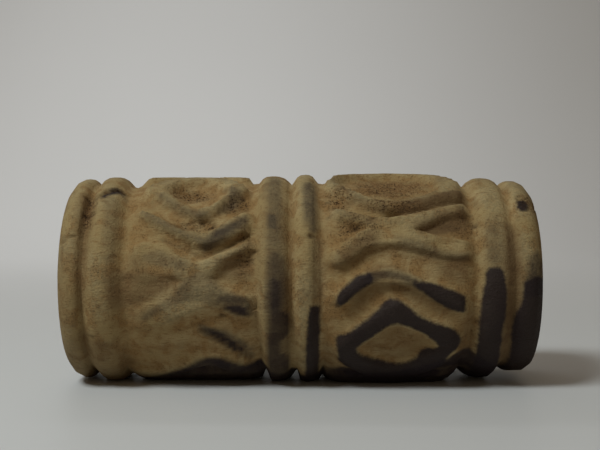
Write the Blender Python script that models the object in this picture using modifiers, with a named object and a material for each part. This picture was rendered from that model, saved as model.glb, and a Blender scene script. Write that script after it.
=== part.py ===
"""Cylinder seal of fired clay, lying on its side.

One solid: six turned rings with rounded grooves between them, and two panels
where lozenges, chevrons and crossed bands stand out of a lowered ground. A
bore runs through it lengthwise, and a small flat underneath stops it rolling.

The seal's axis runs along X. The origin is on the surface it lies on, under
its middle. Angles round the seal are in degrees from the front (-Y), upwards.
"""
import math

import bmesh
import bpy
from mathutils import Matrix, Vector

MM = 0.001

# Widths along the seal, each from the middle of one groove to the next, from left to right
RING_1_WIDTH = 4.0 * MM
RING_2_WIDTH = 5.5 * MM
LEFT_PANEL_WIDTH = 19.5 * MM
RING_3_WIDTH = 5.45 * MM
RING_4_WIDTH = 4.15 * MM
RIGHT_PANEL_WIDTH = 23.1 * MM
RING_5_WIDTH = 5.65 * MM
RING_6_WIDTH = 3.9 * MM

# Radii of the crests
RING_1_RADIUS = 15.6 * MM
RING_2_RADIUS = 16.0 * MM
LEFT_PANEL_RADIUS = 16.0 * MM
RING_3_RADIUS = 16.25 * MM
RING_4_RADIUS = 16.35 * MM
RIGHT_PANEL_RADIUS = 16.55 * MM
RING_5_RADIUS = 15.95 * MM
RING_6_RADIUS = 15.1 * MM

# Grooves, ends and bore
RING_GROOVE_DEPTH = 1.5 * MM
MARGIN_GROOVE_DEPTH = 0.6 * MM
RING_SHOULDER = 1.25 * MM
PANEL_SHOULDER = 1.1 * MM
END_ROUNDING = 2.2 * MM
BORE_DIAMETER = 8.0 * MM
BORE_MOUTH_CHAMFER = 0.6 * MM
AXIS_HEIGHT = 15.85 * MM

# Carving: how far the ground is lowered, and the widths of the bands on their flat tops
CARVING_DEPTH = 1.1 * MM
WIDE_BAND = 2.5 * MM
NARROW_BAND = 1.8 * MM
LOZENGE_INSET = 2.0 * MM
CORNER_CUT = 1.3 * MM

# How far the cutters pass the surfaces that they cut, and the points that count as one after it
CUTTER_OVERRUN = 3.0 * MM
WELD_DISTANCE = 0.02 * MM

# Fineness of the facets
SEGMENTS_ROUND = 40
SHOULDER_STEPS = 3
END_STEPS = 3
BAND_STEP = 3.2 * MM

# What one panel holds. The margins are from the panel's grooves to the ends of its bands, and
# the apexes stand at a share of the width between them. Lozenges and chevrons are counted
# upwards round the seal. A lozenge is (middle, half height) in degrees, and a chevron is
# (angle at its apex, rise to its left end, rise to its right end, band width).
PANELS = (
    {
        "name": "left panel",
        "section": 2,
        "left_margin": 2.0 * MM,
        "right_margin": 1.1 * MM,
        "apex_share": 0.57,
        "lozenges": ((-62, 22), (67, 22), (182.5, 22)),
        "front_chevrons": (
            (-24, -15, -19, NARROW_BAND),
            (0, -14, -8, WIDE_BAND),
            (12, 13, 14, NARROW_BAND),
            (28.5, 17, 12, WIDE_BAND),
        ),
    },
    {
        "name": "right panel",
        "section": 5,
        "left_margin": 2.3 * MM,
        "right_margin": 2.0 * MM,
        "apex_share": 0.45,
        "lozenges": ((-35, 25.5), (77, 26), (201, 25.5)),
        "front_chevrons": (
            (9, -12, -17, NARROW_BAND),
            (30.5, -14, -8, WIDE_BAND),
            (37, 8, 13, WIDE_BAND),
        ),
    },
)

# Chevrons of a zone at the back, as shares of the gap between two lozenges, with their rise
BACK_CHEVRONS = (
    (0.22, -13, NARROW_BAND),
    (0.45, -12, WIDE_BAND),
    (0.55, 12, WIDE_BAND),
    (0.78, 13, NARROW_BAND),
)

# Width, crest radius, shoulder width and groove depth of each section; a panel's crest is its ground
SECTIONS = (
    (RING_1_WIDTH, RING_1_RADIUS, RING_SHOULDER, RING_GROOVE_DEPTH),
    (RING_2_WIDTH, RING_2_RADIUS, RING_SHOULDER, RING_GROOVE_DEPTH),
    (LEFT_PANEL_WIDTH, LEFT_PANEL_RADIUS - CARVING_DEPTH, PANEL_SHOULDER, MARGIN_GROOVE_DEPTH),
    (RING_3_WIDTH, RING_3_RADIUS, RING_SHOULDER, RING_GROOVE_DEPTH),
    (RING_4_WIDTH, RING_4_RADIUS, RING_SHOULDER, RING_GROOVE_DEPTH),
    (RIGHT_PANEL_WIDTH, RIGHT_PANEL_RADIUS - CARVING_DEPTH, PANEL_SHOULDER, MARGIN_GROOVE_DEPTH),
    (RING_5_WIDTH, RING_5_RADIUS, RING_SHOULDER, RING_GROOVE_DEPTH),
    (RING_6_WIDTH, RING_6_RADIUS, RING_SHOULDER, RING_GROOVE_DEPTH),
)
LENGTH = sum(section[0] for section in SECTIONS)


def section_start(index):
    """Place along X where a section begins, at the middle of its left groove."""
    return sum(section[0] for section in SECTIONS[:index]) - LENGTH / 2


def on_seal(x, degrees, radius):
    """Point at a place along the seal and an angle round it."""
    angle = math.radians(degrees)
    return Vector((x, -radius * math.cos(angle), AXIS_HEIGHT + radius * math.sin(angle)))


def start_scene():
    """Empty the scene and make the two collections."""
    for old in list(bpy.data.objects):
        bpy.data.objects.remove(old, do_unlink=True)
    made = []
    for name in ("cylinder seal", "cutters"):
        collection = bpy.data.collections.new(name)
        bpy.context.scene.collection.children.link(collection)
        made.append(collection)
    return made


def clay():
    """Buff fired clay, dull and slightly uneven."""
    material = bpy.data.materials.new("buff fired clay")
    material.use_nodes = True
    shader = material.node_tree.nodes["Principled BSDF"]
    shader.inputs["Base Color"].default_value = (0.42, 0.31, 0.17, 1.0)
    shader.inputs["Roughness"].default_value = 0.9
    shader.inputs["Metallic"].default_value = 0.0
    return material


def rounded_step(share):
    """Rises from 0 to 1 with a rounded foot and a fuller, rounded top."""
    return math.sin(share * math.pi / 2) ** 1.2


def groove_radius(index):
    """Radius at the bottom of the groove after a section."""
    return min(radius - depth for width, radius, shoulder_width, depth in SECTIONS[index:index + 2])


def shoulder(x_groove, low, x_crest, high):
    """Points from a groove's bottom up to a crest, the bottom one left out."""
    points = []
    for step in range(1, SHOULDER_STEPS + 1):
        share = step / SHOULDER_STEPS
        x = x_groove + share * (x_crest - x_groove)
        points.append((x, low + (high - low) * rounded_step(share)))
    return points


def rounded_end(x_end, inward, radius):
    """Quarter round from the rim of a flat end face up to the crest of the end ring."""
    points = []
    for step in range(END_STEPS + 1):
        angle = step / END_STEPS * math.pi / 2
        x = x_end + inward * END_ROUNDING * (1 - math.sin(angle))
        points.append((x, radius - END_ROUNDING * (1 - math.cos(angle))))
    return points[::-1]


def outer_profile():
    """The seal's outline, as (place along X, radius), from the left end to the right."""
    points = rounded_end(-LENGTH / 2, 1, RING_1_RADIUS)
    for index, (width, radius, shoulder_width, depth) in enumerate(SECTIONS):
        start = section_start(index)
        end = start + width
        if index > 0:
            low = groove_radius(index - 1)
            points.append((start, low))
            points += shoulder(start, low, start + shoulder_width, radius)
        if index < len(SECTIONS) - 1:
            low = groove_radius(index)
            points += shoulder(end, low, end - shoulder_width, radius)[::-1]
    return points + rounded_end(LENGTH / 2, -1, RING_6_RADIUS)[::-1]


def bore_profile():
    """The bore with its worn mouths, from the left end to the right."""
    half = LENGTH / 2
    bore = BORE_DIAMETER / 2
    mouth = bore + BORE_MOUTH_CHAMFER
    inset = half - BORE_MOUTH_CHAMFER
    return [(-half, mouth), (-inset, bore), (inset, bore), (half, mouth)]


def turned(name, outline, collection):
    """Solid of revolution about X, from a closed outline of (place along X, radius).

    The outline's outer side runs from right to left.
    """
    mesh = bpy.data.meshes.new(name)
    shape = bmesh.new()
    corners = [shape.verts.new((radius, 0, x)) for x, radius in outline]
    for corner, following in zip(corners, corners[1:] + corners[:1]):
        shape.edges.new((corner, following))
    shape.to_mesh(mesh)
    shape.free()
    turned_object = bpy.data.objects.new(name, mesh)
    turned_object.rotation_euler = (0, math.pi / 2, 0)
    turned_object.location = (0, 0, AXIS_HEIGHT)
    collection.objects.link(turned_object)
    screw = turned_object.modifiers.new("turning", "SCREW")
    screw.steps = SEGMENTS_ROUND
    screw.render_steps = SEGMENTS_ROUND
    screw.use_merge_vertices = True
    screw.merge_threshold = 0.00001
    screw.use_smooth_shade = True
    return turned_object


def hide_as_cutter(cutter):
    """Leave an object out of renders and draw it as wire."""
    cutter.hide_render = True
    cutter.display_type = "WIRE"


def boolean(target, name, operation, cutter):
    """Add a boolean modifier that works with one object, or with all those of a collection."""
    modifier = target.modifiers.new(name, "BOOLEAN")
    modifier.operation = operation
    modifier.solver = "EXACT"
    if isinstance(cutter, bpy.types.Collection):
        modifier.operand_type = "COLLECTION"
        modifier.collection = cutter
    else:
        modifier.object = cutter


def softened(corners, closed, ground_radius):
    """Path of (place along X, angle) through corners that are cut off, in short steps."""
    millimetres_per_degree = ground_radius * math.pi / 180
    points = []
    count = len(corners)
    for index, (x, angle) in enumerate(corners):
        if not closed and index in (0, count - 1):
            points.append((x, angle))
            continue
        for x_beside, angle_beside in (corners[index - 1], corners[(index + 1) % count]):
            length = math.hypot(x_beside - x, (angle_beside - angle) * millimetres_per_degree)
            share = min(CORNER_CUT / length, 0.5)
            points.append((x + share * (x_beside - x), angle + share * (angle_beside - angle)))
    path = []
    following = points[1:] + points[:1] if closed else points[1:]
    for (x, angle), (next_x, next_angle) in zip(points, following):
        length = math.hypot(next_x - x, (next_angle - angle) * millimetres_per_degree)
        steps = max(1, round(length / BAND_STEP))
        for step in range(steps):
            share = step / steps
            path.append((x + share * (next_x - x), angle + share * (next_angle - angle)))
    return path if closed else path + points[-1:]


def band(name, corners, width, closed, ground_radius, collection):
    """Round bar along corners of (place along X, angle), half sunk in the lowered ground.

    It is as wide as the band at the height of the uncut surface.
    """
    curve = bpy.data.curves.new(name, "CURVE")
    curve.dimensions = "3D"
    curve.bevel_depth = math.hypot(width / 2, CARVING_DEPTH)
    curve.bevel_resolution = 2
    curve.use_fill_caps = True
    path = softened(corners, closed, ground_radius)
    spline = curve.splines.new("POLY")
    spline.points.add(len(path) - 1)
    for point, (x, degrees) in zip(spline.points, path):
        point.co = (*on_seal(x, degrees, ground_radius), 1)
    spline.use_cyclic_u = closed
    curve_object = bpy.data.objects.new(name + " curve", curve)
    collection.objects.link(curve_object)
    evaluated = curve_object.evaluated_get(bpy.context.evaluated_depsgraph_get())
    mesh = bpy.data.meshes.new_from_object(evaluated)
    shape = bmesh.new()
    shape.from_mesh(mesh)
    bmesh.ops.remove_doubles(shape, verts=shape.verts, dist=0.000001)
    shape.to_mesh(mesh)
    shape.free()
    bar = bpy.data.objects.new(name, mesh)
    bar.matrix_world = curve_object.matrix_world.copy()
    bpy.data.objects.remove(curve_object, do_unlink=True)
    collection.objects.link(bar)
    hide_as_cutter(bar)


def back_chevrons(lozenges, lower):
    """Chevrons between one lozenge and the next, spaced by shares of the gap."""
    middle, half_height = lozenges[lower]
    next_middle, next_half_height = lozenges[(lower + 1) % len(lozenges)]
    if next_middle < middle:
        next_middle += 360
    start = middle + half_height
    gap = next_middle - next_half_height - start
    return [(start + share * gap, rise, rise, width) for share, rise, width in BACK_CHEVRONS]


def make_bands(panel, left_x, right_x, ground_radius, collection):
    """All the bands of one panel, as bars half sunk in its lowered ground."""
    apex_x = left_x + panel["apex_share"] * (right_x - left_x)
    lozenges = panel["lozenges"]
    for number, (middle, half_height) in enumerate(lozenges, 1):
        corners = (
            (left_x + LOZENGE_INSET, middle),
            (apex_x, middle + half_height),
            (right_x - LOZENGE_INSET, middle),
            (apex_x, middle - half_height),
        )
        name = f"{panel['name']} lozenge {number}"
        band(name, corners, WIDE_BAND, True, ground_radius, collection)
    chevrons = list(panel["front_chevrons"])
    chevrons += back_chevrons(lozenges, 1)
    chevrons += back_chevrons(lozenges, 2)
    for number, (apex, left_rise, right_rise, width) in enumerate(chevrons, 1):
        corners = ((left_x, apex + left_rise), (apex_x, apex), (right_x, apex + right_rise))
        name = f"{panel['name']} chevron {number}"
        band(name, corners, width, False, ground_radius, collection)


def carve_panel(seal, panel, cutters):
    """Leave the bands of one panel standing on its lowered ground, flush with the uncut drum."""
    width, ground_radius, shoulder_width, depth = SECTIONS[panel["section"]]
    start = section_start(panel["section"])
    end = start + width
    bands = bpy.data.collections.new(panel["name"] + " bands")
    cutters.children.link(bands)
    left_x = start + panel["left_margin"]
    right_x = end - panel["right_margin"]
    make_bands(panel, left_x, right_x, ground_radius, bands)
    drum_radius = ground_radius + CARVING_DEPTH
    drum_bore = ground_radius - CUTTER_OVERRUN
    outline = [(end, drum_radius), (start, drum_radius), (start, drum_bore), (end, drum_bore)]
    drum = turned(panel["name"] + " drum", outline, cutters)
    hide_as_cutter(drum)
    relief = bands.objects[0]
    bands.objects.unlink(relief)
    cutters.objects.link(relief)
    relief.name = panel["name"] + " relief"
    boolean(relief, "other bands", "UNION", bands)
    boolean(relief, "flush with the drum", "INTERSECT", drum)
    boolean(seal, panel["name"], "UNION", relief)


def cut_flat(seal, cutters):
    """Cut the small flat that the seal lies on."""
    size = (LENGTH + 2 * CUTTER_OVERRUN, 2 * AXIS_HEIGHT, CUTTER_OVERRUN)
    bpy.ops.mesh.primitive_cube_add(size=1, location=(0, 0, -CUTTER_OVERRUN / 2))
    block = bpy.context.object
    block.name = "resting flat"
    block.data.transform(Matrix.Diagonal((*size, 1)))
    for collection in list(block.users_collection):
        collection.objects.unlink(block)
    cutters.objects.link(block)
    hide_as_cutter(block)
    boolean(seal, "resting flat", "DIFFERENCE", block)


def main():
    """Build the seal."""
    parts, cutters = start_scene()
    seal = turned("seal_body", outer_profile()[::-1] + bore_profile(), parts)
    seal.data.materials.append(clay())
    for panel in PANELS:
        carve_panel(seal, panel, cutters)
    cut_flat(seal, cutters)
    weld = seal.modifiers.new("points that the cuts leave side by side", "WELD")
    weld.merge_threshold = WELD_DISTANCE


main()
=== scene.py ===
"""Cylinder seal of fired clay, lying on its side on a pale sweep.

The seal is one closed surface: a roller with a bore, cut into fine rows and
columns, whose points are then moved to the turned rings, the carved panels,
the worn and pitted places and the chips. Places on it are given as x, in
millimetres along the seal from its middle, and as an angle in degrees round
it, from the front upwards.
"""
import math

import bmesh
import bpy
import numpy as np
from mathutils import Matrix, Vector, noise


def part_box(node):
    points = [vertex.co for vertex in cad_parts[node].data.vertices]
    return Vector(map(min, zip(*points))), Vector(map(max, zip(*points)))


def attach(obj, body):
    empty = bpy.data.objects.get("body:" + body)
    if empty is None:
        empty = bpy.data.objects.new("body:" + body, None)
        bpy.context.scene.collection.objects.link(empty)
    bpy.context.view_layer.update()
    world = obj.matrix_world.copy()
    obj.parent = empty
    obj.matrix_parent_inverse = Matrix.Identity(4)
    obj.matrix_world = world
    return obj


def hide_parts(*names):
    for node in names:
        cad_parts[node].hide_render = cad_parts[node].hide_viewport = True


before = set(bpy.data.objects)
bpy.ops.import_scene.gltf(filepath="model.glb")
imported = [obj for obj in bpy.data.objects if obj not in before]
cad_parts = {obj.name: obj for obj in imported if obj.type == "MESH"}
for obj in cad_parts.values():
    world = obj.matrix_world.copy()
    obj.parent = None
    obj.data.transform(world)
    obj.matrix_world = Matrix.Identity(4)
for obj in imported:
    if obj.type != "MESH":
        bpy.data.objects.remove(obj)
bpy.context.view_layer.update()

MM = 0.001

# The body, in millimetres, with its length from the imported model
LOW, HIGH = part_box("seal_body")
LENGTH = (HIGH.x - LOW.x) / MM
AXIS_HEIGHT = 15.85
MEAN_RADIUS = 16.0
MM_PER_DEGREE = MEAN_RADIUS * math.pi / 180
BORE_RADIUS = 4.0
BORE_LIP = 0.7
END_ROUNDING = 2.3

# The right end: how much less it is rounded low down, how far its ring stands out past the packed
# body, the x where that begins and the length over which it grows
LESS_ROUNDED_LOW_DOWN = 1.0
RIGHT_END_OUT = 0.45
OUT_FROM = 32.0
OUT_OVER = 3.6

# How far the figures stand turned towards the floor, in degrees
FIGURES_TURNED = 3.5

# Fineness of the surface: columns round it, closer together at the front, rows along each section
# and on the rounded ends, rings on the end faces as shares of their width, and rows in the bore
COLUMNS = 368
FRONT_COLUMNS = 244
FRONT_FROM = -90.0
FRONT_TO = 102.0
SECTION_ROWS = (20, 19, 57, 19, 15, 68, 20, 20)
ROWS = sum(SECTION_ROWS)
ROUNDING_ROWS = 8
END_RINGS = (1.2, 2.6, 3.4, 2.4, 0.7)
BORE_ROWS = 7

# Distances inside outlines: the value far away from one, and the limit where only the edge counts
FAR_OUTSIDE = -9.0
REACH = 2.0

# Seeds of what is uneven by hand
BACK_SEED = 40
GROOVE_SEED = 60
LOW_SEED = 70
CREST_SEED = 80
CREST_PLACE_SEED = 90
PIT_SEED = 7

# Grooves between the sections: (x at the front, x on top, x underneath, radius at the bottom of the
# groove, the same underneath)
GROOVES = (
    (-31.78, -31.43, -31.80, 14.50, 14.20),
    (-26.02, -26.28, -25.60, 14.42, 14.00),
    (-6.62, -6.68, -5.20, 14.45, 13.90),
    (-1.15, -1.23, -0.20, 14.70, 14.30),
    (2.98, 2.98, 4.10, 14.95, 14.50),
    (26.22, 25.83, 24.30, 14.25, 13.40),
    (31.82, 31.58, 30.90, 14.50, 13.30),
)

# Sine of the angle at which the photo shows a groove's front, and how late a groove's place and
# depth change on the way down from there
FRONT_SINE = 0.17
LATE_UNDERNEATH = 1.6

# The end rings slope as if the next grooves stood this far past the ends, with these radii
PAST_THE_END = 3.0
LEFT_END_LOW = 14.0
RIGHT_END_LOW = 13.6

# Sections: (x of the crest, radius of the crest, how much higher its middle lies, squareness)
SECTIONS = (
    (-33.2, 15.70, 0.05, 2.6),
    (-29.1, 16.08, 0.0, 2.8),
    (-16.4, 14.95, 0.0, 9.0),
    (-4.1, 16.28, 0.05, 3.0),
    (0.95, 16.40, 0.05, 2.8),
    (14.5, 15.50, 0.1, 10.0),
    (28.8, 15.82, 0.16, 2.8),
    (33.1, 15.12, 0.42, 2.4),
)
LEFT_PANEL = 2
RIGHT_PANEL = 5

# Height of the carving above the panels' ground: (x, height) along each panel
RELIEF = {
    LEFT_PANEL: ((-25.5, 1.05), (-20.0, 1.10), (-14.0, 1.14), (-7.0, 1.12)),
    RIGHT_PANEL: ((3.5, 1.10), (8.0, 1.12), (14.0, 1.28), (19.0, 1.05), (25.0, 0.78)),
}

# Outlines of the carved bands at the front, as (x, angle)
LEFT_UPPER_LOZENGE = (
    (-23.6, 69), (-23.0, 62), (-19.4, 53), (-16.6, 45), (-14.8, 41.6), (-12.6, 47), (-10.8, 57),
    (-8.3, 63), (-7.8, 69), (-9.0, 77), (-12.0, 87), (-15.0, 92), (-18.6, 86), (-22.0, 77),
)
LEFT_UPPER_BOWL = (
    (-20.2, 66), (-18.6, 57.5), (-16.6, 51), (-15.0, 47.8), (-12.9, 52), (-11.2, 60), (-10.8, 67),
    (-12.0, 76), (-15.2, 84), (-18.5, 77),
)
LEFT_UPPER_CHEVRON = (
    (-24.0, 49.5), (-20.6, 42.3), (-17.5, 35.6), (-15.3, 33), (-12.8, 34.1), (-10.9, 40.3),
    (-7.3, 48.5), (-7.0, 40), (-7.9, 34), (-11.6, 27.6), (-14.4, 24.6), (-18.2, 32.3), (-23.6, 43),
)
LEFT_CROSS_UPPER = (
    (-24.2, 28), (-20.0, 25.5), (-16.8, 19.5), (-15.2, 15.5), (-13.7, 17.6), (-10.1, 22.8),
    (-7.0, 28.8), (-6.9, 24.4), (-8.0, 22.6), (-11.8, 14.8), (-13.2, 8), (-16.2, 5), (-18.4, 11),
    (-24.4, 12.5),
)
LEFT_CROSS_LOWER = (
    (-23.3, -8.9), (-20.2, -3), (-18.0, 1.7), (-17.2, 5), (-14.8, 9), (-12.6, 6), (-11.5, 1.5),
    (-8.6, -1.9), (-7.0, -4), (-7.1, -13.6), (-10.1, -10.6), (-12.4, -6.4), (-14.4, -8),
    (-20.4, -18), (-23.6, -22),
)
LEFT_LOWER_LOZENGE = (
    (-23.0, -63), (-19.9, -54), (-15.8, -44), (-12.9, -37.6), (-9.0, -45.5), (-7.5, -51),
    (-7.3, -62), (-9.5, -74), (-13.5, -86), (-17.0, -80), (-20.5, -72),
)
LEFT_LOWER_BOWL = (
    (-19.0, -62), (-16.5, -53), (-13.3, -46), (-11.0, -54), (-10.4, -62), (-11.5, -70), (-13.6, -77),
    (-16.8, -70),
)
RIGHT_UPPER_LOZENGE = (
    (4.2, 64), (5.4, 61), (7.1, 57), (10.0, 51), (12.9, 46), (15.3, 45), (17.5, 47), (21.0, 51),
    (23.6, 55), (25.2, 59), (25.2, 70), (24.6, 80), (20.5, 95), (15.0, 104), (13.5, 106), (9.5, 97),
    (5.5, 86), (4.2, 78),
)
RIGHT_UPPER_BOWL = (
    (5.5, 72), (7.2, 65), (9.3, 58), (11.5, 54), (13.4, 52), (15.6, 52), (17.9, 56), (20.3, 61),
    (21.5, 68), (20.6, 78), (20.0, 86), (17.3, 94), (13.6, 99), (9.8, 93), (7.0, 85), (5.6, 78),
)
RIGHT_CROSS_UPPER = (
    (5.0, 47.6), (9.0, 42.9), (12.6, 40.2), (14.9, 43.4), (21.0, 50.1), (24.6, 55.8), (25.2, 46.5),
    (20.8, 41), (17.7, 34.9), (15.0, 30), (12.0, 31), (10.4, 34.6), (7.5, 39), (5.1, 43.4),
)
RIGHT_CROSS_LOWER = (
    (4.2, 20.4), (6.4, 25.2), (8.9, 33), (11.6, 37), (15.0, 37), (17.7, 32.9), (22.7, 28.3),
    (25.2, 27.6), (25.3, 19.6), (21.9, 19), (17.6, 22.6), (13.8, 26), (11.8, 25.4), (10.3, 24.2),
    (8.1, 19), (5.0, 12.8),
)
RIGHT_LOWER_CHEVRON = (
    (5.4, -2), (6.0, 1.4), (7.4, 6.4), (10.0, 11.4), (13.2, 12.4), (16.1, 9), (19.0, 5.9),
    (21.9, 2), (24.1, -3), (24.2, -11.4), (21.2, -6), (19.0, -1.2), (16.1, 4), (13.2, 6.6),
    (10.3, 5), (7.4, -2.2), (5.7, -6),
)
RIGHT_LOWER_LOZENGE = (
    (5.4, -30.4), (7.5, -21.1), (10.4, -13.4), (13.4, -4.2), (14.4, -4.2), (16.4, -7.8), (19.1, -14.6),
    (22.1, -18), (23.9, -26), (23.4, -35), (20.5, -50), (17.0, -60), (14.0, -66), (10.4, -58),
    (7.5, -46), (5.7, -37),
)
RIGHT_LOWER_BOWL = (
    (8.2, -33), (9.3, -28.5), (10.7, -24), (13.0, -17.4), (14.6, -16.2), (17.8, -20.5), (20.9, -30.4),
    (20.4, -34.6), (18.2, -37), (16.8, -44), (15.0, -47.8), (12.2, -44.5), (9.4, -38.6),
)

# Bands of one panel: (outline, what is cut out of its middle)
FRONT_BANDS = {
    LEFT_PANEL: (
        (LEFT_UPPER_LOZENGE, LEFT_UPPER_BOWL),
        (LEFT_UPPER_CHEVRON, None),
        (LEFT_CROSS_UPPER, None),
        (LEFT_CROSS_LOWER, None),
        (LEFT_LOWER_LOZENGE, LEFT_LOWER_BOWL),
    ),
    RIGHT_PANEL: (
        (RIGHT_UPPER_LOZENGE, RIGHT_UPPER_BOWL),
        (RIGHT_CROSS_UPPER, None),
        (RIGHT_CROSS_LOWER, None),
        (RIGHT_LOWER_CHEVRON, None),
        (RIGHT_LOWER_LOZENGE, RIGHT_LOWER_BOWL),
    ),
}

# The back of each panel: (left x, right x, x of the apexes, middle of the third lozenge, its half
# height, the upper edge of the upper lozenge, the lower edge of the lower one)
BACK = {
    LEFT_PANEL: (-24.1, -7.7, -14.8, 182.5, 22.0, 92.0, -86.0),
    RIGHT_PANEL: (5.3, 24.1, 13.8, 201.0, 25.5, 106.0, -66.0),
}

# Chevrons between two lozenges at the back: (share of the gap, rise to the ends, width)
BACK_CHEVRONS = ((0.20, -13.0, 1.9), (0.43, -12.0, 2.5), (0.57, 12.0, 2.5), (0.80, 13.0, 1.9))

# Slopes of the carving: how far inside a band's outline they reach, and how far outside it, as
# (angles, distances)
SLOPE_INSIDE = 0.25
SOFTER_BELOW = {
    LEFT_PANEL: ((-125, -80, -5, 25), (0.5, 1.3, 1.1, 0.45)),
    RIGHT_PANEL: ((-125, -80, -5, 25), (0.5, 0.8, 0.6, 0.45)),
}

# Share of the carving's height that is left at an angle, as (angles, shares)
FLATTER_BELOW = ((-125, -90, -10, 25), (1.0, 0.65, 0.66, 1.0))

# The carving is worn full between these angles, underneath
FILLED_FROM = -58.0
FILLED_TO = -116.0

# Strokes left by a pointed tool: (points, half width, depth). The narrow ones get painted shade inside.
NARROW_STROKE = 0.7
STROKES = (
    (((-29.9, 60.0), (-28.9, 62.8), (-27.7, 65.6), (-26.7, 67.2)), 0.62, 1.10),
    (((-35.0, 27.0), (-34.0, 30.5), (-32.9, 31.0)), 0.36, 0.40),
    (((-31.9, 60.0), (-32.0, 45.0), (-32.1, 30.0)), 0.60, 0.30),
    (((-20.2, 30.2), (-16.8, 24.6), (-14.0, 19.4), (-11.2, 23.8), (-7.8, 32.3)), 0.55, 0.35),
    (((-18.6, 31.8), (-17.2, 29.6), (-16.2, 27.6)), 0.30, 0.18),
    (((10.8, 27.6), (13.4, 25.6), (17.0, 24.6)), 0.45, 0.16),
    (((13.6, 44.0), (15.6, 44.8), (18.0, 47.0), (21.4, 51.6), (25.2, 57.4)), 1.35, 0.75),
    (((-27.8, 70.0), (-26.6, 64.0), (-26.2, 60.0)), 0.50, 0.30),
    (((-14.2, -22.0), (-12.2, -26.0), (-10.2, -32.0), (-8.2, -39.0), (-6.7, -45.0)), 0.80, 0.42),
    (((-12.4, -6.0), (-9.8, -10.0), (-7.6, -13.0)), 0.60, 0.22),
)

# Places that wear has levelled: (x, angle, half width, half height in degrees, depth under the top)
WORN = (
    (-21.2, 19.5, 3.4, 10.0, 0.42),
    (-14.8, 8.0, 2.4, 5.0, 0.25),
    (-20.0, -27.0, 4.4, 8.0, 0.60),
    (-21.6, 1.0, 4.2, 9.0, 0.50),
    (-21.8, 11.5, 4.0, 7.0, 0.40),
    (-13.8, -21.5, 2.2, 4.0, 0.45),
    (13.2, 31.0, 3.0, 6.0, 0.30),
    (22.5, 23.5, 3.4, 5.0, 0.30),
    (12.8, 9.0, 2.6, 5.0, 0.28),
)

# Dents and chips: (x, angle, half width, half height in degrees, depth)
DENTS = (
    (-15.8, 69.0, 4.1, 15.0, 0.80),
    (14.0, 76.0, 5.6, 19.0, 0.60),
    (14.4, -31.0, 4.4, 10.0, -0.30),
    (-21.4, 4.0, 3.0, 7.0, 0.20),
    (-9.2, 15.5, 2.2, 6.5, 0.35),
    (13.8, -29.0, 1.6, 4.5, 0.30),
    (12.6, -33.0, 1.3, 3.5, -0.25),
    (-34.2, 22.0, 0.6, 4.5, 0.30),
    (35.0, 58.0, 1.0, 4.0, 0.45),
    (33.2, 60.0, 0.8, 3.5, 0.25),
    (-31.6, 55.0, 0.8, 9.0, 0.30),
    (11.6, 37.6, 0.7, 2.4, 0.30),
    (5.4, 14.0, 0.7, 2.2, 0.40),
    (22.4, 53.0, 2.0, 2.4, 0.20),
)

# Pitted places: (x, angle, half width, half height in degrees, strength)
PITTED = (
    (-16.6, 68.0, 3.6, 9.0, 1.0),
    (-9.4, 55.0, 2.0, 9.0, 0.9),
    (-14.8, 38.0, 4.0, 4.5, 0.7),
    (14.0, 76.0, 6.6, 18.0, 1.0),
    (6.0, 57.0, 2.6, 10.0, 0.8),
    (14.0, 50.0, 5.0, 5.0, 0.8),
    (8.6, 34.0, 3.6, 14.0, 0.5),
    (34.2, 57.0, 1.6, 9.0, 0.8),
    (-31.4, 50.0, 1.1, 18.0, 1.0),
    (24.5, 40.0, 2.0, 12.0, 0.4),
    (-8.0, 22.0, 1.4, 20.0, 0.5),
)
PIT_COUNT = 420
PITS_IN_PATCHES = 0.75

# Dark pigment on the tops of the carving: (outline, what stays bare in its middle)
LOZENGE_PIGMENT = (
    (5.4, -28), (5.6, -24), (6.9, -23), (8.3, -18), (9.8, -14), (11.2, -9), (12.6, -4), (13.6, -2),
    (14.8, -4), (16.3, -8), (17.9, -13), (19.4, -15), (20.9, -17), (22.4, -19), (23.5, -23),
    (23.9, -27), (23.6, -31), (22.6, -35), (21.7, -40), (22.3, -58), (14.2, -67), (6.0, -58),
    (5.8, -35),
)
LOZENGE_BARE = (
    (8.3, -31), (9.3, -27), (10.4, -24), (11.6, -21), (12.4, -18), (13.4, -16), (14.4, -15),
    (15.6, -17), (16.8, -19), (18.0, -21), (19.1, -24), (20.2, -28), (20.6, -30), (20.0, -33),
    (18.7, -32), (18.0, -35), (17.5, -39), (16.7, -42), (15.5, -45), (14.0, -45), (12.2, -42),
    (10.3, -39), (8.9, -36),
)
CHEVRON_PIGMENT_LEFT = (
    (5.4, -5), (5.5, -2), (5.9, 1), (7.1, 5), (8.2, 9), (9.4, 10), (10.6, 10), (10.7, 6), (10.0, 4),
    (9.0, 2), (7.9, -1), (6.8, -5), (5.9, -7), (5.5, -8),
)
CHEVRON_PIGMENT_RIGHT = (
    (16.2, 6), (17.5, 6), (18.7, 6), (19.8, 5), (21.0, 3), (22.2, 2), (23.2, 0), (24.2, -2),
    (24.2, -2), (24.3, -11), (24.3, -11), (23.1, -10), (21.5, -8), (20.6, -6), (19.7, -4), (18.8, -2),
    (17.8, 1), (16.9, 3),
)
DARK_ON_TOPS = (
    (LOZENGE_PIGMENT, LOZENGE_BARE),
    (CHEVRON_PIGMENT_LEFT, None),
    (CHEVRON_PIGMENT_RIGHT, None),
)

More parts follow.
